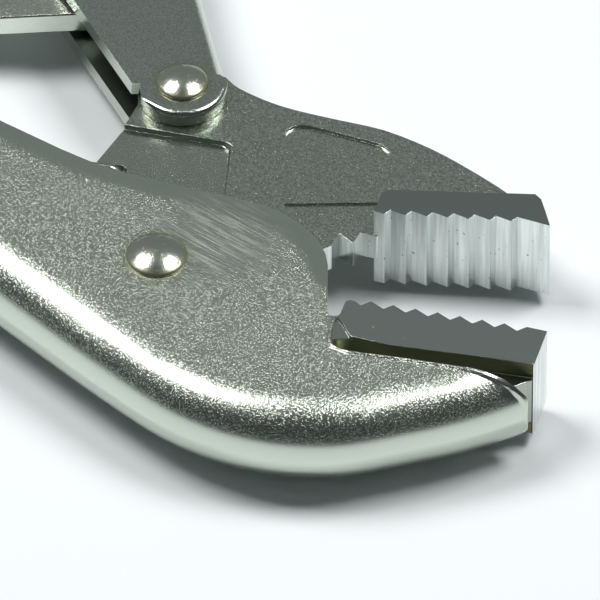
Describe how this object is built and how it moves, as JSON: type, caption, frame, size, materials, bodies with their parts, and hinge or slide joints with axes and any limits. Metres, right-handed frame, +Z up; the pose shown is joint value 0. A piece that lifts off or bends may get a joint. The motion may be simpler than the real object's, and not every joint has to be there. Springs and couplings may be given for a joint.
{
  "type": "locking pliers",
  "caption": "Straight-jaw locking pliers with serrated jaws, pressed channel handles, toggle link, release lever and a knurled adjusting screw.",
  "frame": {"origin": "under the middle of the open pliers, at the height of the lower main rivet head they lie on", "axes": "+X along the fixed handle towards the jaws, +Y towards the open lever, +Z up through the rivets"},
  "size_m": [0.2452, 0.166, 0.0164],
  "materials": {
    "blasted_nickel": "shot-blasted, then satin nickel plated",
    "ground_steel": "ground and nickel plated",
    "polished_nickel": "smooth bright nickel plate",
    "stamped_nickel": "stamped sheet, satin nickel plated",
    "spring_wire": "drawn spring wire",
    "screw_steel": "rolled thread and knurl, nickel plated"
  },
  "bodies": {
    "fixed_frame": {"fixed_handle": "blasted_nickel", "fixed_jaw": "ground_steel", "main_pivot_rivet": "polished_nickel", "return_spring": "spring_wire"},
    "jaw": {"movable_jaw": "blasted_nickel", "lever_rivet": "polished_nickel"},
    "lever_arm": {"lever": "blasted_nickel", "link_rivet": "polished_nickel", "release_rivet": "polished_nickel"},
    "link": {"toggle_link": "stamped_nickel"},
    "release": {"release_lever": "stamped_nickel"},
    "screw_slide": {"screw_nose": "screw_steel"},
    "screw_knob": {"adjusting_screw": "screw_steel"}
  },
  "joints": [
    {"name": "jaw_pivot", "type": "hinge", "parent": "fixed_frame", "child": "jaw", "pos_m": [0.06993, -0.0633, 0.0082], "axis": [0, 0, 1], "range_deg": [-21.01, 0], "stiffness_Nm_per_rad": 0.3, "deforming": ["return_spring"]},
    {"name": "lever_pivot", "type": "hinge", "parent": "jaw", "child": "lever_arm", "pos_m": [0.05183, -0.0339, 0.0082], "axis": [0, 0, 1], "range_deg": [0, 71.1]},
    {"name": "link_pivot", "type": "hinge", "parent": "lever_arm", "child": "link", "pos_m": [0.02699, -0.02097, 0.0082], "axis": [0, 0, 1], "range_deg": [-68.51, 0]},
    {"name": "release_pivot", "type": "hinge", "parent": "lever_arm", "child": "release", "pos_m": [0.00722, 0.00936, 0.0082], "axis": [0, 0, 1], "range_deg": [-3.5, 0]},
    {"name": "screw_advance", "type": "slide", "parent": "fixed_frame", "child": "screw_slide", "axis": [1, 0, 0], "range_m": [-0.0075, 0]},
    {"name": "knob_turn", "type": "hinge", "parent": "screw_slide", "child": "screw_knob", "pos_m": [-0.1, -0.0663, 0.0082], "axis": [1, 0, 0], "range_deg": [-2161, 0]}
  ],
  "couplings": [
    {"joint": "jaw_pivot", "follows": "lever_pivot", "ratio": -0.29536},
    {"joint": "link_pivot", "follows": "lever_pivot", "ratio": -0.96343},
    {"joint": "knob_turn", "follows": "screw_advance", "rad_per_m": 5026.5}
  ]
}
